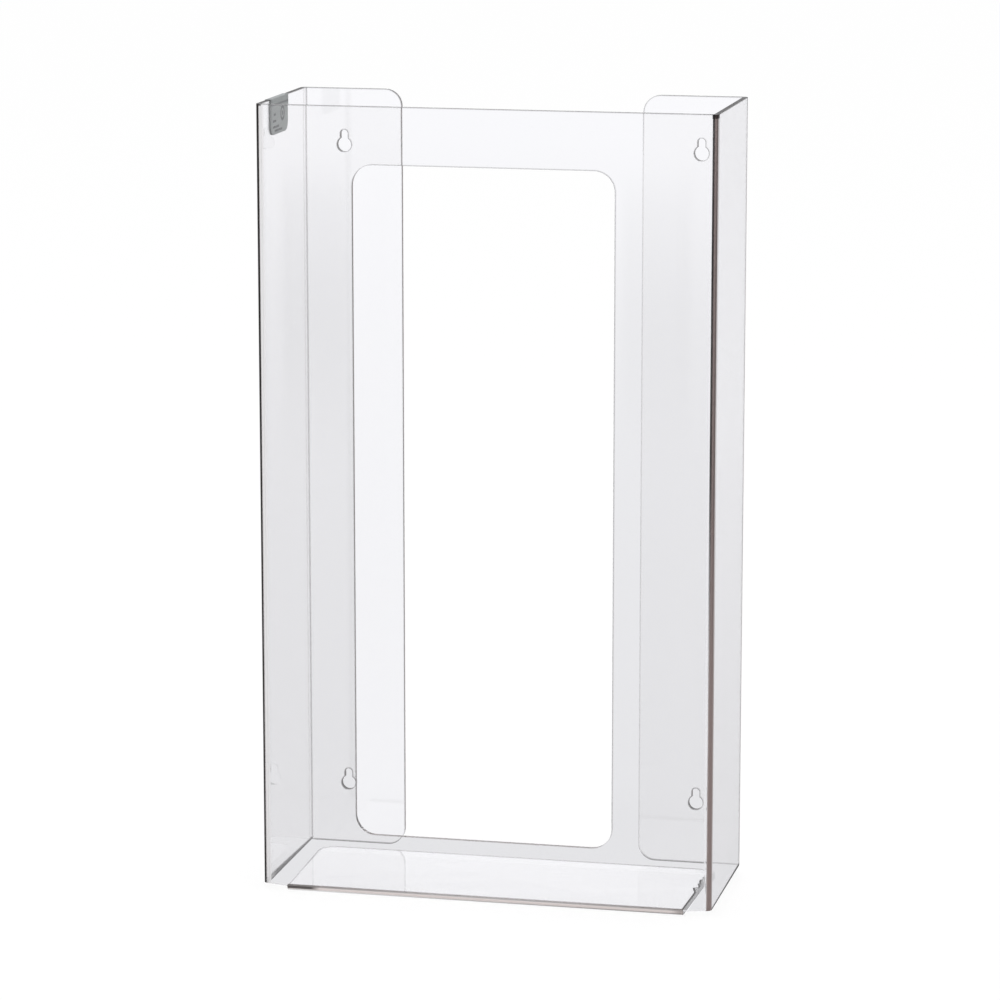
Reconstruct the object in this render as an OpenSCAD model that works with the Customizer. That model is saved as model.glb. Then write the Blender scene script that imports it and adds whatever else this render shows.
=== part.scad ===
// Wall dispenser for boxes of disposable gloves. One clear plastic sheet is cut to
// shape and line-bent into a front panel, two side panels, two wall flanges and a
// bottom panel. The top and the middle of the back stay open: boxes drop in from
// above, and gloves are pulled out through the tall front window.
// Origin: on the standing surface, below the middle of the body. X runs along the
// width, +Y points to the wall and the front panel faces -Y. All sizes are in mm.

/* [Body] */
// Overall width, over the outer faces of the side panels
body_w = 266; // [220:1:420]
// Overall height, from the underside to the open top
body_h = 461; // [300:1:700]
// Overall depth, from the front face to the back of the wall flanges
body_d = 101; // [70:1:160]
// Thickness of the plastic sheet
sheet_t = 3; // [2:0.5:5]
// Inside radius of every fold
fold_r = 0.5; // [0.5:0.5:4]
// How far the cut edges below the sides and flanges stay above the underside
edge_lift = 4; // [1:0.1:6]

/* [Front window] */
// Width of the panel left between the window and each side's outer face
window_margin_side = 57.25; // [40:0.25:90]
// Height of the panel left above the window
window_margin_top = 33; // [20:1:80]
// Height of the panel left below the window, measured from the underside
window_margin_bottom = 37; // [20:1:80]
// Corner radius of the window
window_r = 12; // [3:1:40]
// Offset of the window and the bottom panel from the middle; minus is to the left
cut_shift = -1; // [-4:0.5:4]

/* [Wall flanges] */
// Width of a wall flange, from the side's outer face to its free edge
flange_w = 61; // [40:0.5:90]
// Radius of the flange's two free corners
flange_r = 10; // [2:1:20]

/* [Keyholes] */
// Distance from the side's outer face to the middle of a keyhole
keyhole_inset = 26.5; // [15:0.5:32]
// Height of the lower keyholes' round openings above the underside
keyhole_low = 41; // [25:1:100]
// Distance of the upper keyholes' round openings below the open top
keyhole_drop = 33; // [25:1:100]
// Diameter of the round opening that the screw head passes
keyhole_head_d = 8.5; // [8:0.5:14]
// Width of the narrow slot that holds the screw's shank
keyhole_slot_w = 4.5; // [3:0.5:6]
// Height from the middle of the round opening to the slot's round end
keyhole_rise = 6.5; // [6:0.5:12]

/* [Bottom panel] */
// Gap between the bottom panel and each side panel at the front fold
bottom_gap_front = 12.5; // [4:0.5:30]
// Gap between the bottom panel and each side panel at its rear corners
bottom_gap_rear = 10; // [4:0.5:30]
// Gap between the bottom panel's rear edge and the wall flanges
bottom_gap_wall = 8; // [4:0.5:30]
// Radius of the bottom panel's rear corners
bottom_r = 10; // [2:1:20]
// Height above the underside at which the corner notch meets the front fold
notch_root = 3; // [0:0.1:5]

/* [Edge label] */
// Width of the label along the left side's top edge
label_w = 37; // [15:1:50]
// How far each half of the label reaches down from the top edge
label_drop = 20.5; // [12:0.5:40]
// Thickness of the label
label_t = 0.3; // [0.2:0.1:1]
// Distance from the front face to the label's front edge
label_inset = 22; // [5:1:30]
// Radius of the label's lower corners
label_r = 6; // [1:0.5:8]

/* [Hidden] */
$fn = 64;

// Outer radius of every fold, so that the sheet keeps its thickness round the bend
bend_r = fold_r + sheet_t;
front_y = -body_d / 2;
wall_y = body_d / 2;
side_x = body_w / 2;

window_w = body_w - 2 * window_margin_side;
window_h = body_h - window_margin_top - window_margin_bottom;
keyhole_x = side_x - keyhole_inset;
keyhole_high = body_h - keyhole_drop;
flange_edge_x = side_x - flange_w;

// The bottom panel widens evenly from the fold line to its rear edge
fold_line_y = front_y + bend_r;
rear_y = wall_y - sheet_t - bottom_gap_wall;
front_half_w = side_x - sheet_t - bottom_gap_front;
rear_half_w = side_x - sheet_t - bottom_gap_rear;
flare = atan((rear_half_w - front_half_w) / (rear_y - fold_line_y));

// The front panel's foot is drawn up to this height, above the fold and the cut edges
foot_top = max(bend_r, edge_lift, notch_root) + sheet_t;

// A cutting tool passes this far beyond each face that it opens
through = 1;

// Rectangle centred on the origin, with round corners
module round_rect(width, height, radius) {
    square([width - 2 * radius, height], center = true);
    square([width, height - 2 * radius], center = true);
    for (x = [-1, 1], y = [-1, 1])
        translate([x * (width / 2 - radius), y * (height / 2 - radius)])
            circle(radius);
}

// Turns a flat outline drawn in X and Z into a solid between two depths
module upright(y_near, y_far) {
    translate([0, y_far, 0])
        rotate([90, 0, 0])
            linear_extrude(y_far - y_near)
                children();
}

// Plan view of the wrap: front panel, sides and wall flanges, with a gap at the back
module wrap_plan() {
    difference() {
        round_rect(body_w, body_d, bend_r);
        round_rect(body_w - 2 * sheet_t, body_d - 2 * sheet_t, fold_r);
        translate([-flange_edge_x, 0])
            square([2 * flange_edge_x, wall_y + through]);
    }
}

// What is cut away outside a round corner whose two edges run along +X and +Y
module corner_waste(radius) {
    difference() {
        translate([-through, -through])
            square(radius + through);
        translate([radius, radius])
            circle(radius);
    }
}

// Rounds the upper and the lower free corner of the flange on the +X side
module flange_corner_cuts() {
    upright(wall_y - sheet_t - through, wall_y + through) {
        translate([flange_edge_x, edge_lift])
            corner_waste(flange_r);
        translate([flange_edge_x, body_h])
            mirror([0, 1])
                corner_waste(flange_r);
    }
}

// Keyhole outline: the head enters the round opening, the shank slides up the slot
module keyhole() {
    circle(d = keyhole_head_d);
    translate([-keyhole_slot_w / 2, 0])
        square([keyhole_slot_w, keyhole_rise]);
    translate([0, keyhole_rise])
        circle(d = keyhole_slot_w);
}

// The two keyholes of the flange on the +X side
module keyhole_cuts() {
    upright(wall_y - sheet_t - through, wall_y + through)
        for (z = [keyhole_low, keyhole_high])
            translate([keyhole_x, z])
                keyhole();
}

module window_cut() {
    upright(front_y - through, front_y + sheet_t + through)
        translate([cut_shift, window_margin_bottom + window_h / 2])
            round_rect(window_w, window_h, window_r);
}

// Takes the flat panel away along the front fold, where the bent sheet replaces it
module fold_relief() {
    translate([cut_shift - front_half_w, front_y - through, 0])
        cube([2 * front_half_w, sheet_t + 2 * through, bend_r]);
}

// Front panel, sides and flanges, folded round the vertical bends
module wrap() {
    difference() {
        translate([0, 0, edge_lift])
            linear_extrude(body_h - edge_lift)
                wrap_plan();
        window_cut();
        fold_relief();
        for (side = [0, 1])
            mirror([side, 0, 0]) {
                flange_corner_cuts();
                keyhole_cuts();
            }
    }
}

// Foot of the front panel: it stands on the front fold, and on each side of the fold
// its lower edge slants up to the vertical fold
module front_foot() {
    upright(front_y, front_y + sheet_t) {
        translate([cut_shift - front_half_w, bend_r])
            square([2 * front_half_w, foot_top - bend_r]);
        for (side = [-1, 1]) {
            inner_x = cut_shift + side * front_half_w;
            outer_x = side * (side_x - bend_r);
            polygon([
                [inner_x, foot_top],
                [inner_x, notch_root],
                [outer_x, edge_lift],
                [outer_x, foot_top]
            ]);
        }
    }
}

// Quarter bend that carries the front panel over into the bottom panel
module front_fold() {
    translate([cut_shift - front_half_w, fold_line_y, bend_r])
        rotate([90, 0, 90])
            linear_extrude(2 * front_half_w)
                intersection() {
                    difference() {
                        circle(bend_r);
                        circle(fold_r);
                    }
                    translate([-bend_r, -bend_r])
                        square(bend_r);
                }
}

// One half of the bottom panel's outline, with its rear corner rounded
module bottom_half() {
    centre_y = rear_y - bottom_r;
    side_at_centre = rear_half_w - bottom_r * tan(flare);
    centre_x = side_at_centre - bottom_r / cos(flare);
    polygon([
        [0, fold_line_y],
        [front_half_w, fold_line_y],
        [centre_x + bottom_r * cos(flare), centre_y - bottom_r * sin(flare)],
        [centre_x, centre_y],
        [centre_x, rear_y],
        [0, rear_y]
    ]);
    translate([centre_x, centre_y])
        circle(bottom_r);
}

module bottom_panel() {
    translate([cut_shift, 0, 0])
        linear_extrude(sheet_t)
            for (side = [0, 1])
                mirror([side, 0])
                    bottom_half();
}

module body() {
    color([0.93, 0.94, 0.95, 0.45])
        union() {
            wrap();
            front_fold();
            bottom_panel();
            front_foot();
        }
}

// Section of the label across the side panel: it wraps over the sheet's top edge
module label_section() {
    wrap_w = sheet_t + 2 * label_t;
    difference() {
        union() {
            translate([-label_t, -label_drop])
                square([wrap_w, label_drop]);
            square([sheet_t, label_t]);
            for (x = [0, sheet_t])
                translate([x, 0])
                    circle(label_t);
        }
        translate([0, -label_drop - through])
            square([sheet_t, label_drop + through]);
    }
}

// Outline of the hanging halves seen from the side, with their lower corners rounded
module label_outline() {
    difference() {
        translate([0, -label_drop])
            square([label_w, label_drop + label_t]);
        translate([0, -label_drop])
            corner_waste(label_r);
        translate([label_w, -label_drop])
            mirror([1, 0])
                corner_waste(label_r);
    }
}

module edge_label() {
    color([0.62, 0.64, 0.64])
        translate([-side_x, front_y + label_inset, body_h])
            intersection() {
                translate([0, label_w, 0])
                    rotate([90, 0, 0])
                        linear_extrude(label_w)
                            label_section();
                translate([-label_t - through, 0, 0])
                    rotate([90, 0, 90])
                        linear_extrude(sheet_t + 2 * label_t + 2 * through)
                            label_outline();
            }
}

body();
edge_label();
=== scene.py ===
"""Disposable glove dispenser: looks, light and camera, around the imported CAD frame.

The two meshes come from the frame and stay as they are. This script gives them their
materials, and sets the photograph's camera and a white studio round them.
"""

import math
from collections import namedtuple

import bpy
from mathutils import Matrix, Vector

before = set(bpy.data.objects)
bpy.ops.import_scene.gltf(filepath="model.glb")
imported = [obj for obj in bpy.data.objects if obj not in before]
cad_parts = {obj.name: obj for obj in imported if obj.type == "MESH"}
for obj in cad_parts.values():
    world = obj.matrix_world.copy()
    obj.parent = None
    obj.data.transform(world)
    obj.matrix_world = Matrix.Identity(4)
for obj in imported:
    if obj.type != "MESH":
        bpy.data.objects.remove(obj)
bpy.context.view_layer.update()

# Sizes of the dispenser in metres, the same as in the part's source
BODY_W = 0.266
BODY_H = 0.461
BODY_D = 0.101
SHEET_T = 0.003
FOLD_R = 0.0005
EDGE_LIFT = 0.004
WINDOW_MARGIN_SIDE = 0.05725
WINDOW_MARGIN_TOP = 0.033
WINDOW_MARGIN_BOTTOM = 0.037
WINDOW_R = 0.012
CUT_SHIFT = -0.001
FLANGE_W = 0.061
FLANGE_R = 0.010
KEYHOLE_INSET = 0.0265
KEYHOLE_LOW = 0.041
KEYHOLE_DROP = 0.033
KEYHOLE_HEAD_D = 0.0085
KEYHOLE_SLOT_W = 0.0045
KEYHOLE_RISE = 0.0065
BOTTOM_GAP_FRONT = 0.0125
BOTTOM_GAP_REAR = 0.010
BOTTOM_GAP_WALL = 0.008
BOTTOM_R = 0.010
LABEL_INSET = 0.022

# Faces, folds and outlines that follow from these sizes
SIDE_X = BODY_W / 2
FRONT_Y = -BODY_D / 2
WALL_Y = BODY_D / 2
BEND_R = FOLD_R + SHEET_T
BEND_X = SIDE_X - BEND_R
BEND_Y = WALL_Y - BEND_R
WINDOW_HALF_W = SIDE_X - WINDOW_MARGIN_SIDE
WINDOW_HALF_H = (BODY_H - WINDOW_MARGIN_TOP - WINDOW_MARGIN_BOTTOM) / 2
WINDOW_MIDDLE_Z = WINDOW_MARGIN_BOTTOM + WINDOW_HALF_H
FLANGE_EDGE_X = SIDE_X - FLANGE_W
KEYHOLE_X = SIDE_X - KEYHOLE_INSET
KEYHOLE_HIGH = BODY_H - KEYHOLE_DROP
KEYHOLE_HEAD_R = KEYHOLE_HEAD_D / 2
KEYHOLE_SLOT_R = KEYHOLE_SLOT_W / 2
PANEL_REAR_Y = WALL_Y - SHEET_T - BOTTOM_GAP_WALL
PANEL_FRONT_HALF_W = SIDE_X - SHEET_T - BOTTOM_GAP_FRONT
PANEL_REAR_HALF_W = SIDE_X - SHEET_T - BOTTOM_GAP_REAR
PANEL_FLARE = (PANEL_REAR_HALF_W - PANEL_FRONT_HALF_W) / (PANEL_REAR_Y + BEND_Y)


class Graph:
    """Short calls for building a node tree. A value is a number or another node's socket."""

    def __init__(self, tree):
        self.tree = tree
        tree.nodes.clear()

    def node(self, kind, **settings):
        made = self.tree.nodes.new(kind)
        for name, value in settings.items():
            setattr(made, name, value)
        return made

    def put(self, socket, value):
        if isinstance(value, bpy.types.NodeSocket):
            self.tree.links.new(value, socket)
        else:
            socket.default_value = value

    def fill(self, made, values):
        """Puts each of the values into the node's input of that name."""
        for name, value in values.items():
            self.put(made.inputs[name], value)
        return made

    def math(self, operation, *values):
        made = self.node("ShaderNodeMath", operation=operation)
        for socket, value in zip(made.inputs, values):
            self.put(socket, value)
        return made.outputs[0]

    def add(self, first, second):
        return self.math("ADD", first, second)

    def subtract(self, first, second):
        return self.math("SUBTRACT", first, second)

    def multiply(self, first, second):
        return self.math("MULTIPLY", first, second)

    def pick(self, mask, outside, inside):
        """One number outside the mask and another inside it."""
        return self.math("MULTIPLY_ADD", mask, inside - outside, outside)

    def near(self, value, centre, reach):
        return self.math("COMPARE", value, centre, reach)

    def below(self, value, limit):
        return self.math("LESS_THAN", value, limit)

    def above(self, value, limit):
        return self.math("GREATER_THAN", value, limit)

    def both(self, first, *others):
        joined = first
        for mask in others:
            joined = self.multiply(joined, mask)
        return joined

    def either(self, first, *others):
        joined = first
        for mask in others:
            joined = self.math("MAXIMUM", joined, mask)
        return joined

    def length(self, u, v):
        return self.math("SQRT", self.add(self.multiply(u, u), self.multiply(v, v)))

    def ramp(self, value, span, levels=(0.0, 1.0), smooth=False):
        """Goes from the first level to the second while the value crosses the span."""
        made = self.node("ShaderNodeMapRange")
        made.interpolation_type = "SMOOTHSTEP" if smooth else "LINEAR"
        limits = zip(("From Min", "From Max", "To Min", "To Max"), (*span, *levels))
        return self.fill(made, {"Value": value, **dict(limits)}).outputs["Result"]

    def stripe(self, value, span, soft):
        """1 inside the span and 0 outside it, with soft borders."""
        start, end = span
        opens = self.ramp(value, (start - soft / 2, start + soft / 2), smooth=True)
        closes = self.ramp(value, (end - soft / 2, end + soft / 2), (1.0, 0.0), smooth=True)
        return self.multiply(opens, closes)

    def rounded_box(self, u, v, half_u, half_v, radius):
        """Signed distance to a rectangle with round corners; below zero is inside it."""
        over_u = self.subtract(self.math("ABSOLUTE", u), half_u - radius)
        over_v = self.subtract(self.math("ABSOLUTE", v), half_v - radius)
        outside = self.length(self.either(over_u, 0.0), self.either(over_v, 0.0))
        inside = self.math("MINIMUM", self.either(over_u, over_v), 0.0)
        return self.subtract(self.add(outside, inside), radius)

    def parts(self, vector):
        made = self.node("ShaderNodeSeparateXYZ")
        self.put(made.inputs[0], vector)
        return made.outputs

    def scaled(self, vector, factors):
        made = self.node("ShaderNodeVectorMath", operation="MULTIPLY")
        self.put(made.inputs[0], vector)
        made.inputs[1].default_value = factors
        return made.outputs[0]

    def noise(self, vector, scale, detail=2.0, roughness=0.5):
        made = self.node("ShaderNodeTexNoise")
        values = {"Vector": vector, "Scale": scale, "Detail": detail, "Roughness": roughness}
        return self.fill(made, values).outputs["Fac"]

    def mix(self, factor, first, second):
        """Colour between the first and the second."""
        made = self.node("ShaderNodeMix", data_type="RGBA")
        self.put(made.inputs["Factor"], factor)
        self.put(made.inputs[6], first)
        self.put(made.inputs[7], second)
        return made.outputs[2]

    def blend(self, factor, first, second):
        """Shader between the first and the second."""
        made = self.node("ShaderNodeMixShader")
        for socket, value in zip(made.inputs, (factor, first, second)):
            self.put(socket, value)
        return made.outputs[0]

    def principled(self, **values):
        """Principled shader; its inputs are named in lower case, with underscores."""
        made = self.node("ShaderNodeBsdfPrincipled")
        sockets = {socket.name.lower().replace(" ", "_"): socket for socket in made.inputs}
        for name, value in values.items():
            self.put(sockets[name], value)
        return made.outputs[0]

    def light(self, kind, colour, strength):
        return self.fill(self.node(kind), {"Color": colour, "Strength": strength}).outputs[0]

    def add_output(self, kind, surface):
        """Adds the tree's output node of this kind, and returns it."""
        return self.fill(self.node(kind), {"Surface": surface})


def new_material(name):
    made = bpy.data.materials.new(name)
    made.use_nodes = True
    return made, Graph(made.node_tree)


# Camera, fitted to the straight edges in the photograph: angles in radians, from straight
# ahead and from level, and distance and target in metres
VIEW_AZIMUTH = 0.2218
VIEW_ELEVATION = 0.1954
VIEW_DISTANCE = 2.4251
VIEW_TARGET = Vector((0.0092, -0.0505, 0.2389))
LENS_MM = 153.6
SENSOR_MM = 36.0
VIEW_END = 100.0


def add_camera():
    data = bpy.data.cameras.new("camera")
    data.lens = LENS_MM
    data.sensor_width = SENSOR_MM
    data.sensor_fit = "HORIZONTAL"
    data.clip_end = VIEW_END
    camera = bpy.data.objects.new("camera", data)
    bpy.context.scene.collection.objects.link(camera)
    level = math.cos(VIEW_ELEVATION)
    back = Vector((
        math.sin(VIEW_AZIMUTH) * level,
        -math.cos(VIEW_AZIMUTH) * level,
        math.sin(VIEW_ELEVATION),
    ))
    camera.location = VIEW_TARGET + back * VIEW_DISTANCE
    camera.rotation_euler = (-back).to_track_quat("-Z", "Y").to_euler()
    bpy.context.scene.camera = camera


LAMP_PLACE = Vector((-1.2, -1.6, 2.2))
LAMP_TARGET = Vector((0, 0, 0.2))
LAMP_SIZE = 1.4
LAMP_POWER = 18.0


def add_lamp():
    data = bpy.data.lights.new("key", "AREA")
    data.shape = "SQUARE"
    data.size = LAMP_SIZE
    data.energy = LAMP_POWER
    lamp = bpy.data.objects.new("key", data)
    lamp.location = LAMP_PLACE
    lamp.rotation_euler = (LAMP_TARGET - LAMP_PLACE).to_track_quat("-Z", "Y").to_euler()
    bpy.context.scene.collection.objects.link(lamp)


# Studio: white where it is seen directly, a little less through the sheet and in
# reflections, and dim and warm for light that was reflected three or more times
WHITE = (1.0, 1.0, 1.0, 1.0)
COOL = (0.988, 0.990, 1.016, 1.0)
INSIDE_COLOUR = (0.24, 0.185, 0.175, 1.0)
INSIDE_BOUNCES = 2.5
SKY_LIGHT = 0.85


class RayKind:
    """Masks of the rays that meet the studio. Straight ones passed the sheet, seen ones
    came from the camera or straight through the sheet, mirrored ones were reflected, and
    inside ones passed the sheet after three or more reflections."""

    def __init__(self, g):
        path = g.node("ShaderNodeLightPath").outputs
        through = path["Is Transmission Ray"]
        self.inside = g.both(through, g.above(path["Glossy Depth"], INSIDE_BOUNCES))
        self.straight = g.subtract(through, self.inside)
        self.seen = g.either(path["Is Camera Ray"], self.straight)
        self.mirrored = g.both(path["Is Glossy Ray"], g.subtract(1.0, through))


def shown_by_sheet(g, ray, kind, shader, through_level, mirror_level):
    """Lays what the sheet shows over the shader: the studio through it, mirrored by it,
    and after three or more reflections."""
    shader = g.blend(ray.straight, shader, g.light(kind, COOL, through_level))
    shader = g.blend(ray.mirrored, shader, g.light(kind, COOL, mirror_level))
    return g.blend(ray.inside, shader, g.light(kind, INSIDE_COLOUR, 1.0))


# Tone of the sky in reflections, by the upward part of the direction
BACKDROP_LOW = 1.0
BACKDROP_HIGH = 1.1
CEILING = 0.8
BACKDROP_SPAN = (0.0, 0.12)
CEILING_SPAN = (0.35, 0.6)


def add_world():
    world = bpy.data.worlds.new("studio")
    bpy.context.scene.world = world
    world.use_nodes = True
    g = Graph(world.node_tree)
    ray = RayKind(g)
    up = g.parts(g.node("ShaderNodeTexCoord").outputs["Generated"])["Z"]
    rise = g.ramp(up, BACKDROP_SPAN, (BACKDROP_LOW, BACKDROP_HIGH), smooth=True)
    fall = g.ramp(up, CEILING_SPAN, (1.0, CEILING / BACKDROP_HIGH), smooth=True)
    kind = "ShaderNodeBackground"
    shader = g.blend(ray.seen, g.light(kind, WHITE, SKY_LIGHT), g.light(kind, WHITE, 1.0))
    shader = shown_by_sheet(g, ray, kind, shader, 1.0, g.multiply(rise, fall))
    g.add_output("ShaderNodeOutputWorld", shader)


FLOOR_HALF = 12.0
FLOOR_SHADE = 0.25
FLOOR_GLOW = 1.08
PAPER_DARK = (0.84, 0.84, 0.84, 1)
PAPER_PALE = (0.88, 0.88, 0.88, 1)
PAPER_GRAIN = 900.0

# Tone of the ground through the sheet: next to the middle, near it and far away, and the spans
# of distance over which it changes. The darker tone next to the middle is a painted shadow
THROUGH_NEXT = 0.92
THROUGH_NEAR = 0.95
THROUGH_FAR = 1.0
NEXT_SPAN = (0.10, 0.25)
THROUGH_SPAN = (0.1, 4.0)

# The ground below the bottom panel, which looks paler in the photograph than beside it
# A painted patch of light: there the ground glows brighter than white, through the sheet
UNDER_PANEL = 1.17
UNDER_HALF_W = 0.1185
UNDER_MIDDLE_Y = -0.004
UNDER_HALF_D = 0.0440

# Tone of the ground in reflections: before the dispenser, behind its middle and behind it
# on the right, where a line of sight from the camera slants by the amount below
FRONT_NEAR = 0.64
FRONT_FAR = 0.95
FRONT_SPAN = (0.3, 3.5)
BEHIND_MIDDLE = 0.97
BEHIND_RIGHT_NEAR = 0.64
BEHIND_RIGHT_FAR = 0.82
BEHIND_SPAN = (0.1, 1.6)
RIGHTWARD_SPAN = (0.0, 0.12)
SIGHT_SLANT = 0.15
FRONT_TO_BACK = (-0.05, 0.05)


def ground_through_sheet(g, place, distance):
    """Tone of the ground where it is seen through the sheet, with a painted shadow next to the
    dispenser and a painted patch of light under the bottom panel.
    """
    near = g.ramp(distance, NEXT_SPAN, (THROUGH_NEXT, THROUGH_NEAR), smooth=True)
    glow = g.ramp(distance, THROUGH_SPAN, (near, THROUGH_FAR), smooth=True)
    under_x = g.near(place["X"], CUT_SHIFT, UNDER_HALF_W)
    under_y = g.near(place["Y"], UNDER_MIDDLE_Y, UNDER_HALF_D)
    return g.add(glow, g.multiply(g.both(under_x, under_y), UNDER_PANEL - THROUGH_NEXT))


def ground_in_mirrors(g, place, distance):
    """Tone of the ground where the sheet reflects it."""
    front = g.ramp(distance, FRONT_SPAN, (FRONT_NEAR, FRONT_FAR), smooth=True)
    right = g.ramp(distance, BEHIND_SPAN, (BEHIND_RIGHT_NEAR, BEHIND_RIGHT_FAR))
    aside = g.subtract(place["X"], g.multiply(place["Y"], SIGHT_SLANT))
    behind = g.ramp(aside, RIGHTWARD_SPAN, (BEHIND_MIDDLE, right), smooth=True)
    at_back = g.ramp(place["Y"], FRONT_TO_BACK)
    in_front = g.subtract(1.0, at_back)
    return g.add(g.multiply(at_back, behind), g.multiply(in_front, front))


def floor_paper():
    material, g = new_material("floor_paper")
    ray = RayKind(g)
    vector = g.node("ShaderNodeTexCoord").outputs["Object"]
    place = g.parts(vector)
    away = g.node("ShaderNodeVectorMath", operation="LENGTH")
    g.put(away.inputs[0], vector)
    distance = away.outputs["Value"]
    diffuse = g.node("ShaderNodeBsdfDiffuse")
    g.put(diffuse.inputs["Color"], g.mix(g.noise(vector, PAPER_GRAIN), PAPER_DARK, PAPER_PALE))
    kind = "ShaderNodeEmission"
    glow_share = g.multiply(ray.seen, 1.0 - FLOOR_SHADE)
    shader = g.blend(glow_share, diffuse.outputs[0], g.light(kind, WHITE, FLOOR_GLOW))
    through_level = ground_through_sheet(g, place, distance)
    mirror_level = ground_in_mirrors(g, place, distance)
    shader = shown_by_sheet(g, ray, kind, shader, through_level, mirror_level)
    g.add_output("ShaderNodeOutputMaterial", shader)
    return material


def add_floor():
    mesh = bpy.data.meshes.new("floor")
    ends = ((-1, -1), (1, -1), (1, 1), (-1, 1))
    corners = [(x * FLOOR_HALF, y * FLOOR_HALF, 0) for x, y in ends]
    mesh.from_pydata(corners, [], [(0, 1, 2, 3)])
    mesh.materials.append(floor_paper())
    floor = bpy.data.objects.new("floor", mesh)
    bpy.context.scene.collection.objects.link(floor)


class Place:
    """Where a shaded point is on the dispenser, in metres: side is the distance from its
    middle, and across the distance from the middle of the window and the bottom panel."""

    def __init__(self, g):
        self.vector = g.node("ShaderNodeTexCoord").outputs["Object"]
        self.x, self.y, self.z = g.parts(self.vector)
        self.side = g.math("ABSOLUTE", self.x)
        self.across = g.math("ABSOLUTE", g.subtract(self.x, CUT_SHIFT))


# The sheet's middle planes. A face that lies between the sheet's two surfaces is a cut
# edge, and one that lies within the face reach of a plane belongs to that panel
FRONT_PLANE = FRONT_Y + SHEET_T / 2
BACK_PLANE = WALL_Y - SHEET_T / 2
SIDE_PLANE = SIDE_X - SHEET_T / 2
BOTTOM_PLANE = SHEET_T / 2
EDGE_REACH = SHEET_T / 2 - 0.00008
FACE_REACH = SHEET_T / 2 + 0.0002

# Where the flat panels end, just short of the folds, and where the front fold ends
FLAT_END_X = BEND_X - 0.0005
FLAT_END_Y = BEND_Y - 0.0005
FOLD_TOP = BEND_R + 0.0001
FOLD_HALF_W = PANEL_FRONT_HALF_W + 0.0001
PANEL_LIMIT_X = PANEL_REAR_HALF_W + 0.004

# The open side of an outline is put this far away
BEYOND = 0.2


class Sheet:
    """Distances to the sheet's outlines, and masks of the faces on which each one counts."""

    def __init__(self, g, at):
        flat = g.below(at.side, FLAT_END_X)
        off_fold = g.either(g.above(at.z, FOLD_TOP), g.above(at.across, FOLD_HALF_W))
        self.front = g.both(g.near(at.y, FRONT_PLANE, FACE_REACH), flat, off_fold)
        self.back = g.both(g.near(at.y, BACK_PLANE, FACE_REACH), flat)
        self.sides = g.near(at.side, SIDE_PLANE, FACE_REACH)
        within = g.both(g.above(at.y, -FLAT_END_Y), g.below(at.across, PANEL_LIMIT_X))
        self.bottom = g.both(g.near(at.z, BOTTOM_PLANE, FACE_REACH), within)
        up = g.subtract(at.z, WINDOW_MIDDLE_Z)
        self.window = g.rounded_box(at.across, up, WINDOW_HALF_W, WINDOW_HALF_H, WINDOW_R)
        self.flange = flange_depth(g, at)
        self.keyhole = keyhole_distance(g, at)
        self.panel = panel_depth(g, at)
        self.rim = g.subtract(BODY_H, at.z)
        self.foot = g.subtract(at.z, EDGE_LIFT)


def flange_depth(g, at):
    """How far a point is inside the outline of its wall flange."""
    half_h = (BODY_H - EDGE_LIFT) / 2
    aside = g.subtract(at.side, FLANGE_EDGE_X + BEYOND)
    up = g.subtract(at.z, EDGE_LIFT + half_h)
    return g.multiply(g.rounded_box(aside, up, BEYOND, half_h, FLANGE_R), -1.0)


def panel_depth(g, at):
    """How far a point is inside the outline of the bottom panel."""
    deep = g.subtract(at.y, PANEL_REAR_Y - BEYOND)
    flare = g.multiply(g.subtract(at.y, PANEL_REAR_Y), PANEL_FLARE)
    wide = g.subtract(at.across, flare)
    return g.multiply(g.rounded_box(wide, deep, PANEL_REAR_HALF_W, BEYOND, BOTTOM_R), -1.0)


def keyhole_distance(g, at):
    """Signed distance to the outline of the nearest keyhole."""
    upper = g.above(at.z, (KEYHOLE_LOW + KEYHOLE_HIGH) / 2)
    across = g.subtract(at.side, KEYHOLE_X)
    up = g.subtract(at.z, g.pick(upper, KEYHOLE_LOW, KEYHOLE_HIGH))
    head = g.subtract(g.length(across, up), KEYHOLE_HEAD_R)
    half_slot = KEYHOLE_RISE / 2 + KEYHOLE_SLOT_R
    slot_up = g.subtract(up, KEYHOLE_RISE / 2)
    slot = g.rounded_box(across, slot_up, KEYHOLE_SLOT_R, half_slot, KEYHOLE_SLOT_R)
    return g.math("MINIMUM", head, slot)


# How much of the painted dark edge shade each kind of cut edge shows
WINDOW_SHARE = 0.14
FLANGE_SHARE = 0.06
FLANGE_FOOT_SHARE = 0.6
KEYHOLE_SHARE = 0.6
SIDE_SHARE = 0.95
PANEL_SHARE = 0.3
PANEL_RIGHT_SHARE = 0.35
RIM_SHARE = 0.5

# How far the painted edge shade runs on to the faces beside an edge, and how much of it shows
# there
EDGE_LINE_REACH = 0.0008
EDGE_LINE_SHARE = 0.26

# The rim: its top face, the part of it near the corners, and its paler inner half
RIM_BAND = 0.00004
RIM_CORNER_W = 0.008
RIM_MIDDLE_SPAN = (SIDE_PLANE - 0.0002, SIDE_PLANE)
RIM_INNER_LEVEL = 0.45

# Paler stretches: the window's sill and its left edge, and the flanges between their ends
SILL_SPAN = (WINDOW_MARGIN_BOTTOM + 0.003, WINDOW_MARGIN_BOTTOM + 0.013)
SILL_LINE_LEVEL = 0.15
JAMB_SPAN = (-0.074, -0.064)
JAMB_LEVEL = 0.35
FLANGE_TOP_SPAN = (0.400, 0.440)
FLANGE_FOOT_SPAN = (EDGE_LIFT + 0.0005, EDGE_LIFT + 0.008)
FLANGE_FOOT_LINE = 2.2
LEFT_FLANGE_LINE = 0.2
RIGHT_FLANGE_LINE = 0.6

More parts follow.
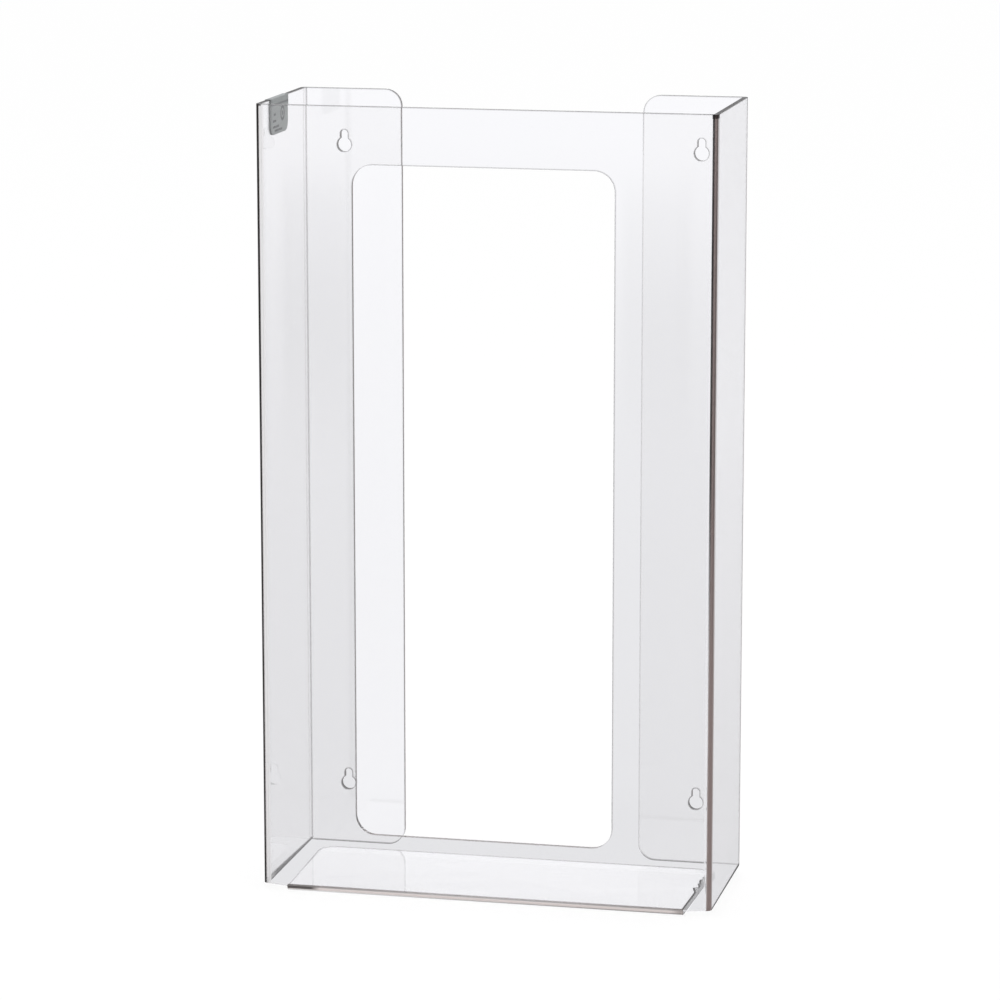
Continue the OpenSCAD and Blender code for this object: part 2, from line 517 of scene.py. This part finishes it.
# A keyhole's rim is darkest on its left
KEYHOLE_LEFT_X = -0.0012
KEYHOLE_LINE = 0.9
KEYHOLE_LEFT_LINE = 2.5

# The chipped stretch of the bottom panel's right edge
CHIP_FROM_X = 0.106
CHIP_TO_Y = 0.030


def chipped_stretch(g, at):
    """Mask of the places where the bottom panel's right edge is chipped."""
    return g.both(g.above(at.x, CHIP_FROM_X), g.below(at.y, CHIP_TO_Y))


def right_of_jamb(g, at):
    """Less than 1 at the window's left edge, which looks paler than its right one."""
    return g.ramp(at.x, JAMB_SPAN, (JAMB_LEVEL, 1.0))


def near_flange_foot(g, at):
    """1 at the flanges' cut lower edges, and 0 from a little above them."""
    return g.ramp(at.z, FLANGE_FOOT_SPAN, (1.0, 0.0), smooth=True)


def cut_edges(g, at, sheet):
    """How much of the painted dark edge shade shows on the cut edges themselves."""
    window = g.both(sheet.front, g.near(at.y, FRONT_PLANE, EDGE_REACH))
    window_share = g.both(g.ramp(at.z, SILL_SPAN, (0.0, WINDOW_SHARE)), right_of_jamb(g, at))
    flange = g.both(sheet.back, g.near(at.y, BACK_PLANE, EDGE_REACH))
    in_keyhole = g.below(sheet.keyhole, EDGE_LINE_REACH)
    flange_share = g.either(
        g.pick(in_keyhole, FLANGE_SHARE, KEYHOLE_SHARE),
        g.multiply(near_flange_foot(g, at), FLANGE_FOOT_SHARE),
    )
    side = g.both(g.near(at.side, SIDE_PLANE, EDGE_REACH), g.near(at.y, 0.0, BEND_Y))
    panel = g.both(sheet.bottom, g.near(at.z, BOTTOM_PLANE, EDGE_REACH))
    panel_share = g.pick(chipped_stretch(g, at), PANEL_SHARE, PANEL_RIGHT_SHARE)
    rim = g.near(at.z, BODY_H, RIM_BAND)
    near_corner = g.ramp(at.side, (FLAT_END_X - RIM_CORNER_W, FLAT_END_X))
    outer_half = g.ramp(at.side, RIM_MIDDLE_SPAN, (RIM_INNER_LEVEL, 1.0))
    rim_share = g.pick(g.both(near_corner, outer_half), RIM_SHARE, SIDE_SHARE)
    return g.either(
        g.both(window, window_share),
        g.both(flange, flange_share),
        g.both(side, SIDE_SHARE),
        g.both(panel, panel_share),
        g.both(rim, rim_share),
    )


def edge_shade_lines(g, at, sheet):
    """A fainter line of painted shade along the faces beside each cut edge."""
    on_window = g.both(g.ramp(at.z, SILL_SPAN, (SILL_LINE_LEVEL, 1.0)), right_of_jamb(g, at))
    on_flange = g.either(
        g.ramp(at.z, FLANGE_TOP_SPAN),
        g.pick(g.above(at.x, 0.0), LEFT_FLANGE_LINE, RIGHT_FLANGE_LINE),
        g.multiply(near_flange_foot(g, at), FLANGE_FOOT_LINE),
    )
    keyhole_x = g.multiply(g.math("SIGN", at.x), KEYHOLE_X)
    on_left = g.below(g.subtract(at.x, keyhole_x), KEYHOLE_LEFT_X)
    on_keyhole = g.pick(on_left, KEYHOLE_LINE, KEYHOLE_LEFT_LINE)
    lines = (
        (sheet.window, g.both(sheet.front, on_window)),
        (sheet.flange, g.both(sheet.back, on_flange)),
        (sheet.keyhole, g.both(sheet.back, on_keyhole)),
        (sheet.panel, sheet.bottom),
        (sheet.rim, 1.0),
        (sheet.foot, sheet.sides),
    )
    drawn = []
    for distance, faces in lines:
        line = g.ramp(distance, (0.0, EDGE_LINE_REACH), (1.0, 0.0), smooth=True)
        drawn.append(g.both(line, faces))
    return g.multiply(g.either(*drawn), EDGE_LINE_SHARE)


# Bands of painted shade above the side panels' lower edges: how high they reach at the front
# and at the rear, which part of that is full, and how much of the dark edge paint they show
LEFT_FOOT_REACH = (0.0042, 0.0014)
LEFT_FOOT_FULL = 0.7
LEFT_FOOT_SHARE = 0.64
LEFT_FOOT_PALE_SPAN = (-0.046, -0.028)
LEFT_FOOT_PALE_LEVEL = 0.35
RIGHT_FOOT_REACH = (0.0014, 0.0022)
RIGHT_FOOT_FULL = 0.6
RIGHT_FOOT_SHARE = 0.95


def side_feet(g, at, sheet):
    """Painted shade: the wide band at the left panel's foot, and a narrow one on the right's
    outer face.
    """

    def band(reaches, full, share):
        reach = g.ramp(at.y, (-BEND_Y, BEND_Y), reaches)
        start = g.multiply(reach, full)
        low = g.ramp(sheet.foot, (start, reach), (share, 0.0), smooth=True)
        return g.both(low, sheet.sides)

    pale_front = g.ramp(at.y, LEFT_FOOT_PALE_SPAN, (LEFT_FOOT_PALE_LEVEL, 1.0))
    left = g.both(band(LEFT_FOOT_REACH, LEFT_FOOT_FULL, LEFT_FOOT_SHARE), pale_front)
    left = g.both(left, g.below(at.x, 0.0))
    right = band(RIGHT_FOOT_REACH, RIGHT_FOOT_FULL, RIGHT_FOOT_SHARE)
    right = g.both(right, g.above(at.x, SIDE_PLANE + EDGE_REACH))
    return g.either(left, right)


# Chips along the chipped stretch: noise along its depth sets how far they bite into the panel,
# and each bite is darkest along its inner border; the chips are the panel's own, their
# darkness is painted shade
CHIP_SCALE = 115.0
CHIP_DETAIL = 2.0
CHIP_ROUGHNESS = 0.6
CHIP_NOISE_SPAN = (0.42, 0.60)
CHIP_MOST = 0.0024
CHIP_LEAST = 0.0013
CHIP_START_SPAN = (-0.012, -0.002)
CHIP_LINE_INSET = 0.0008
CHIP_OUTER_LEVEL = 0.4


def chips(g, at, sheet):
    """Teeth broken out of the bottom panel's right edge, shown by painted shade that is
    darkest along their inner border.
    """
    along = g.scaled(at.vector, (0.0, 1.0, 0.0))
    rough = g.noise(along, CHIP_SCALE, CHIP_DETAIL, CHIP_ROUGHNESS)
    deeper = g.ramp(at.y, CHIP_START_SPAN)
    bite = g.multiply(g.ramp(rough, CHIP_NOISE_SPAN, (0.0, CHIP_MOST)), deeper)
    bite = g.add(bite, CHIP_LEAST)
    shadowed_front_end = (g.subtract(bite, CHIP_LEAST), g.subtract(bite, CHIP_LINE_INSET))
    line = g.ramp(sheet.panel, shadowed_front_end, (CHIP_OUTER_LEVEL, 1.0))
    return g.both(g.below(sheet.panel, bite), sheet.bottom, chipped_stretch(g, at), line)


def edge_shade_share(g, at):
    """How much of the dark edge paint shows, painted shade for the darkness of the sheet's cut
    edges. Mirror images of the edges are left clear.
    """
    sheet = Sheet(g, at)
    kinds = (cut_edges, edge_shade_lines, side_feet, chips)
    share = g.either(*[finish(g, at, sheet) for finish in kinds])
    mirrored = g.above(g.node("ShaderNodeLightPath").outputs["Glossy Depth"], 0.5)
    return g.multiply(share, g.subtract(1.0, mirrored))


STREAK_DARK = (0.012, 0.010, 0.010, 1)
BROWN = (0.28, 0.22, 0.21, 1)
PALE = (0.80, 0.79, 0.80, 1)
COOL_GREY = (0.50, 0.50, 0.51, 1)
WARM_PALE = (0.82, 0.74, 0.72, 1)
FLOOR_PALE = (0.95, 0.94, 0.93, 1)
GLARE = (0.92, 0.92, 0.95, 1)
WARM_GREY = (0.34, 0.31, 0.30, 1)
PAINT_ROUGHNESS = 0.35
PAINT_SPECULAR = 0.05

# Streaks along the folds, painted highlights, reflections and shade of light that the folds
# bend: the span of each across its fold, how soft its borders are, its colour, and how much of
# the glass it covers
Streak = namedtuple("Streak", "span soft colour cover")

# On the vertical folds a span is an angle, from the front or back face to the side face
LEFT_SHINE = Streak((-0.5, 0.42), 0.35, PALE, 0.92)
LEFT_LINE = Streak((0.42, 1.7), 0.08, STREAK_DARK, 0.97)
RIGHT_BODY = Streak((0.20, 1.06), 0.08, BROWN, 1.0)
RIGHT_SHINE = Streak((1.10, 1.8), 0.08, PALE, 0.85)
RIGHT_LINE = Streak((0.07, 0.40), 0.08, STREAK_DARK, 0.97)
RIGHT_SECOND_LINE = Streak((0.74, 0.98), 0.08, STREAK_DARK, 0.35)
RIGHT_FOOT = Streak((1.00, 1.42), 0.08, BROWN, 0.75)
REAR_LEFT = Streak((-0.5, 0.62), 0.08, COOL_GREY, 0.55)
REAR_RIGHT = Streak((0.6, 1.8), 0.08, COOL_GREY, 0.5)

# On the front fold a span is a height in metres
FOLD_SHINE = Streak((0.0012, 0.0030), 0.0004, WARM_PALE, 0.88)
FOLD_UNDERSIDE = Streak((-0.001, 0.0014), 0.0003, FLOOR_PALE, 0.5)
FOLD_UPPER_LINE = Streak((0.0030, 0.0038), 0.0004, WARM_GREY, 1.0)
FOLD_LOWER_LINE = Streak((0.0002, 0.0012), 0.0003, WARM_GREY, 0.7)
FOLD_LEFT_END = Streak((0.0016, 0.0034), 0.0006, STREAK_DARK, 0.85)
FOLD_RIGHT_END = Streak((0.0004, 0.0037), 0.0004, WARM_GREY, 0.7)

# Upright strips on the front face beside the vertical folds, painted highlights, and dark caps
# of painted shade on the folds' upper ends, which reach further down on the right
FACE_SKIN = 0.0002
LEFT_STRIP_X = 0.0007 - BEND_X
LEFT_STRIP_HALF = 0.0007
LEFT_STRIP_COVER = 0.75
RIGHT_STRIP_X = BEND_X - 0.0003
RIGHT_STRIP_HALF = 0.0006
RIGHT_STRIP_COVER = 0.4
CAP_DROPS = (0.0010, 0.0023)
CAP_SPAN = (-0.1, 0.1)
CAP_COVER = 0.85

# The fold's outer face, less what may be inside it
OUTER_R = BEND_R - 0.0006

# How the right fold's streaks change up its height, and how the left one's line leans
DARK_SPAN = (0.10, 0.28)
WANDER_SCALE = 9.0
WANDER_DETAIL = 3.0
WANDER_SPAN = (0.35, 0.65)
WANDER_LEVELS = (0.9, 1.0)
BROWN_HIGH = 0.5
BROWN_LOW = 0.8
LEAN_SPAN = (0.10, 0.40)
LEAN_LEVELS = (-0.14, 0.0)

# How the front fold's bands change from left to right
RIGHTWARD_X = (-0.10, 0.06)
UPPER_LEFT_X = (-0.08, -0.03)
UPPER_LEFT_LEVELS = (0.22, 0.0)
UPPER_RIGHT_X = (0.03, 0.11)
UPPER_RIGHT_LEVELS = (0.62, 0.82)
LEFT_END_X = (-0.104, -0.099)
RIGHT_END_X = (0.1095, 0.1150)


class Bend:
    """Outer faces of the two folds at the front or at the back, and the angle round them."""

    def __init__(self, g, at, outward):
        out_side = g.subtract(at.side, BEND_X)
        out_face = g.subtract(outward, BEND_Y)
        outer = g.above(g.length(out_side, out_face), OUTER_R)
        self.face = g.both(g.above(out_side, 0.0), g.above(out_face, 0.0), outer)
        self.left = g.both(self.face, g.below(at.x, 0.0))
        self.right = g.both(self.face, g.above(at.x, 0.0))
        self.turn = g.math("ARCTAN2", out_side, out_face)


def painted(g, streak, across, *masks):
    """Mask of a streak where all the other masks hold, with its colour and cover."""
    mask = g.both(g.stripe(across, streak.span, streak.soft), *masks)
    return mask, streak.colour, streak.cover


def front_bend_paints(g, at):
    """Streaks of the two folds at the front, with the strips and caps beside them."""
    bend = Bend(g, at, g.multiply(at.y, -1.0))
    high = g.ramp(at.z, DARK_SPAN, smooth=True)
    low = g.subtract(1.0, high)
    uneven = g.noise(g.scaled(at.vector, (0.0, 0.0, WANDER_SCALE)), 1.0, WANDER_DETAIL)
    dark = g.multiply(high, g.ramp(uneven, WANDER_SPAN, WANDER_LEVELS))
    brown = g.pick(low, BROWN_HIGH, BROWN_LOW)
    lean = g.add(bend.turn, g.ramp(at.z, LEAN_SPAN, LEAN_LEVELS, smooth=True))
    on_face = g.below(at.y, FRONT_Y + FACE_SKIN)
    left_strip = g.both(g.near(at.x, LEFT_STRIP_X, LEFT_STRIP_HALF), on_face)
    right_strip = g.both(g.near(at.x, RIGHT_STRIP_X, RIGHT_STRIP_HALF), on_face)
    cap_foot = g.subtract(BODY_H, g.ramp(at.x, CAP_SPAN, CAP_DROPS))
    return (
        painted(g, LEFT_SHINE, bend.turn, bend.left),
        (left_strip, PALE, LEFT_STRIP_COVER),
        painted(g, LEFT_LINE, lean, bend.left),
        (right_strip, GLARE, RIGHT_STRIP_COVER),
        painted(g, RIGHT_BODY, bend.turn, bend.right, brown),
        painted(g, RIGHT_SHINE, bend.turn, bend.right),
        painted(g, RIGHT_LINE, bend.turn, bend.right, dark),
        painted(g, RIGHT_SECOND_LINE, bend.turn, bend.right, dark),
        painted(g, RIGHT_FOOT, bend.turn, bend.right, low),
        (g.both(bend.face, g.above(at.z, cap_foot)), STREAK_DARK, CAP_COVER),
    )


def rear_bend_paints(g, at):
    """Streaks of the two folds at the back."""
    bend = Bend(g, at, at.y)
    return (
        painted(g, REAR_LEFT, bend.turn, bend.left),
        painted(g, REAR_RIGHT, bend.turn, bend.right),
    )


def front_fold_paints(g, at):
    """Bands along the fold between the front panel and the bottom panel, and its ends."""
    on_fold = g.both(g.below(at.across, FOLD_HALF_W), g.below(at.y, -BEND_Y))
    rightward = g.ramp(at.x, RIGHTWARD_X)
    leftward = g.subtract(1.0, rightward)
    upper_left = g.ramp(at.x, UPPER_LEFT_X, UPPER_LEFT_LEVELS)
    upper_right = g.ramp(at.x, UPPER_RIGHT_X, UPPER_RIGHT_LEVELS)
    left_end = g.ramp(at.x, LEFT_END_X, (1.0, 0.0))
    right_end = g.ramp(at.x, RIGHT_END_X)
    return (
        painted(g, FOLD_SHINE, at.z, on_fold),
        painted(g, FOLD_UNDERSIDE, at.z, on_fold, leftward),
        painted(g, FOLD_UPPER_LINE, at.z, on_fold, g.add(upper_left, upper_right)),
        painted(g, FOLD_LOWER_LINE, at.z, on_fold, rightward),
        painted(g, FOLD_LEFT_END, at.z, on_fold, left_end),
        painted(g, FOLD_RIGHT_END, at.z, on_fold, right_end),
    )


def bend_finish(g, at, shader):
    """Lays the folds' streaks over the glass. In the photograph they are mostly light that
    the folds bend; here they are fixed to the faces and don't move with the view."""
    for paints in (front_bend_paints, rear_bend_paints, front_fold_paints):
        for mask, colour, cover in paints(g, at):
            paint = g.principled(
                base_color=colour,
                roughness=PAINT_ROUGHNESS,
                specular_ior_level=PAINT_SPECULAR,
            )
            shader = g.blend(g.multiply(mask, cover), shader, paint)
    return shader


# Clear sheet: the inside absorbs light, and the panels behind the front are nearly clear
SHEET_IOR = 1.57
ABSORB_DENSITY = 10.0
ABSORB_COLOUR = (0.46, 0.40, 0.40, 1)
CLEAR = (0.99, 0.99, 0.99, 1)
FRONT_END_Y = (FRONT_Y + 0.0040, FRONT_Y + 0.0045)
WAVE_SCALE = 14.0
WAVE_DETAIL = 1.0
WAVE_STRENGTH = 0.02
WAVE_HEIGHT = 0.001
SHEEN_SCALE = 60.0
SHEEN_DETAIL = 3.0
SHEEN_SPAN = (0.3, 0.7)
SHEEN_ROUGHNESS = (0.0, 0.02)

# Front panel: painted shade and light, greyer low down and lighter at the rim and the foot:
# brightness low down, what is added to it in the middle, at the rim and at the foot, and the
# heights over which that comes and goes
PAINTED_TONE_BOTTOM = 0.86
PAINTED_TONE_MIDDLE = 0.04
PAINTED_TONE_RIM = 0.08
PAINTED_TONE_FOOT = 0.018
MIDDLE_HEIGHTS = (0.02, 0.35)
RIM_HEIGHTS = (0.33, 0.46)
FOOT_HEIGHTS = (0.036, 0.060)

# An upright shade on each side of the window, in the front panel's upper half
SHADE_LEFT = 0.05
SHADE_RIGHT = 0.03
SHADE_SIDE_SPAN = (0.080, 0.118)
SHADE_SIDE_SOFT = 0.008
SHADE_STARTS = (0.24, 0.36)
SHADE_ENDS = (0.40, 0.44)
LEFT_TO_RIGHT = (-0.01, 0.01)


def front_painted_tone(g, at):
    """Painted shade and light on the front panel's glass: greyest low down, and clear at the
    rim.
    """
    painted_tone = g.ramp(at.z, MIDDLE_HEIGHTS, (PAINTED_TONE_BOTTOM, PAINTED_TONE_BOTTOM + PAINTED_TONE_MIDDLE))
    painted_tone = g.add(painted_tone, g.ramp(at.z, RIM_HEIGHTS, (0.0, PAINTED_TONE_RIM), smooth=True))
    painted_tone = g.add(painted_tone, g.ramp(at.z, FOOT_HEIGHTS, (PAINTED_TONE_FOOT, 0.0)))
    starts = g.ramp(at.z, SHADE_STARTS, smooth=True)
    ends = g.ramp(at.z, SHADE_ENDS, (1.0, 0.0), smooth=True)
    shaded = g.both(g.stripe(at.side, SHADE_SIDE_SPAN, SHADE_SIDE_SOFT), starts, ends)
    depth = g.ramp(at.x, LEFT_TO_RIGHT, (SHADE_LEFT, SHADE_RIGHT))
    return g.subtract(painted_tone, g.multiply(shaded, depth))


def clear_glass(g, at):
    """Glass with a faint wave and sheen, greyed by painted shade on the front panel alone."""
    painted_tone = front_painted_tone(g, at)
    grey = g.fill(g.node("ShaderNodeCombineColor"), {"Red": painted_tone, "Green": painted_tone, "Blue": painted_tone})
    on_front = g.ramp(at.y, FRONT_END_Y, (1.0, 0.0))
    wave = g.noise(at.vector, WAVE_SCALE, WAVE_DETAIL)
    bump = g.node("ShaderNodeBump")
    g.fill(bump, {"Strength": WAVE_STRENGTH, "Distance": WAVE_HEIGHT, "Height": wave})
    sheen = g.noise(at.vector, SHEEN_SCALE, SHEEN_DETAIL)
    return g.principled(
        base_color=g.mix(on_front, CLEAR, grey.outputs[0]),
        roughness=g.ramp(sheen, SHEEN_SPAN, SHEEN_ROUGHNESS),
        ior=SHEET_IOR,
        transmission_weight=1.0,
        normal=bump.outputs[0],
    )


# Painted shade on the cut edges: dark colours, varied by the saw marks
SAW_MARKS = 900.0
EDGE_SHADE_DARK = (0.03, 0.027, 0.027, 1)
EDGE_SHADE_PALE = (0.10, 0.093, 0.09, 1)
SAW_SPAN = (0.3, 0.7)
SAW_ROUGHNESS = (0.4, 0.6)
SAW_SPECULAR = 0.15


def dark_edge_paint(g, at):
    """Dark, dull paint with saw marks for the cut edges: the saw marks and dullness are their
    own, the darkness is painted shade.
    """
    marks = g.noise(at.vector, SAW_MARKS)
    return g.principled(
        base_color=g.mix(marks, EDGE_SHADE_DARK, EDGE_SHADE_PALE),
        roughness=g.ramp(marks, SAW_SPAN, SAW_ROUGHNESS),
        specular_ior_level=SAW_SPECULAR,
    )


def clear_sheet():
    material, g = new_material("clear_sheet")
    at = Place(g)
    shader = bend_finish(g, at, clear_glass(g, at))
    # The cut edges, and the bands and lines beside them, are covered with painted dark shade
    shader = g.blend(edge_shade_share(g, at), shader, dark_edge_paint(g, at))
    open_to_lamps = g.node("ShaderNodeBsdfTransparent")
    to_lamp = g.node("ShaderNodeLightPath").outputs["Is Shadow Ray"]
    shader = g.blend(to_lamp, shader, open_to_lamps.outputs[0])
    absorb = g.node("ShaderNodeVolumeAbsorption")
    g.fill(absorb, {"Color": ABSORB_COLOUR, "Density": ABSORB_DENSITY})
    output = g.add_output("ShaderNodeOutputMaterial", shader)
    g.put(output.inputs["Volume"], absorb.outputs[0])
    return material


# Label: where it starts, and where its inner half lies
LABEL_FRONT_Y = FRONT_Y + LABEL_INSET
LABEL_INNER_X = SHEET_T - SIDE_X

# Marks on it, by their place along the side and their drop below the rim
MARK_HALF_LINE = 0.0007
RING_Y = -0.0030
RING_DROP = 0.0096
RING_R = 0.0036
RING_HALF_LINE = 0.00091
DOT_R = 0.0014
Rule = namedtuple("Rule", "y drop half_length")
RULES = (
    Rule(-0.0170, 0.0162, 0.0065),
    Rule(-0.0120, 0.0184, 0.0080),
    Rule(-0.0200, 0.0128, 0.0035),
    Rule(-0.0195, 0.0090, 0.0022),
)

# Its film: two greys in fine flecks, clouds of a third, darker printed marks, a painted shade
# line at the crease, and a painted shadow along its front end
FLECK_SCALE = 700.0
FLECK_DETAIL = 3.0
FLECK_DARK = (0.25, 0.27, 0.265, 1)
FLECK_PALE = (0.32, 0.34, 0.335, 1)
CLOUD_SCALE = 160.0
CLOUD_SPAN = (0.35, 0.65)
CLOUD_MOST = 0.35
CLOUD_COLOUR = (0.24, 0.26, 0.265, 1)
PRINT_AND_SHADE_DARK = (0.05, 0.052, 0.056, 1)
FILM_ROUGHNESS = 0.42
CREASE_DROP = 0.0035
CREASE_HALF = 0.0006
CREASE_SHADE = 0.6
FRONT_END_SHADOW_W = 0.0035
FRONT_END_SHADOW = 0.35


def label_marks(g, at, drop):
    """A ring with a dot, and short rules, printed on the label's inner half."""
    from_ring = g.length(g.subtract(at.y, RING_Y), g.subtract(drop, RING_DROP))
    marks = [g.near(from_ring, RING_R, RING_HALF_LINE), g.below(from_ring, DOT_R)]
    for rule in RULES:
        along = g.near(at.y, rule.y, rule.half_length)
        marks.append(g.both(along, g.near(drop, rule.drop, MARK_HALF_LINE)))
    return g.both(g.either(*marks), g.above(at.x, LABEL_INNER_X))


def label_film():
    """Grey printed film, with a painted shade line where it creases over the rim and a painted
    shadow along its front end.
    """
    material, g = new_material("label_film")
    at = Place(g)
    film = g.mix(g.noise(at.vector, FLECK_SCALE, FLECK_DETAIL), FLECK_DARK, FLECK_PALE)
    cloud = g.ramp(g.noise(at.vector, CLOUD_SCALE), CLOUD_SPAN, (0.0, CLOUD_MOST))
    film = g.mix(cloud, film, CLOUD_COLOUR)
    drop = g.subtract(BODY_H, at.z)
    # Painted shade along the crease over the rim, and a painted shadow along the label's front
    # end
    crease = g.near(drop, CREASE_DROP, CREASE_HALF)
    shadowed_front_end = g.below(at.y, LABEL_FRONT_Y + FRONT_END_SHADOW_W)
    print_and_shade = g.either(
        label_marks(g, at, drop),
        g.multiply(crease, CREASE_SHADE),
        g.multiply(shadowed_front_end, FRONT_END_SHADOW),
    )
    shader = g.principled(base_color=g.mix(print_and_shade, film, PRINT_AND_SHADE_DARK), roughness=FILM_ROUGHNESS)
    g.add_output("ShaderNodeOutputMaterial", shader)
    return material


add_camera()
add_world()
add_floor()
add_lamp()
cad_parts["body"].data.materials[0] = clear_sheet()
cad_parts["edge_label"].data.materials[0] = label_film()

# Light that runs inside the sheet is reflected many times before it leaves
LIGHT_BOUNCES = 48
bpy.context.scene.view_settings.view_transform = "Standard"
for kind in ("max_bounces", "glossy_bounces", "transmission_bounces"):
    setattr(bpy.context.scene.cycles, kind, LIGHT_BOUNCES)
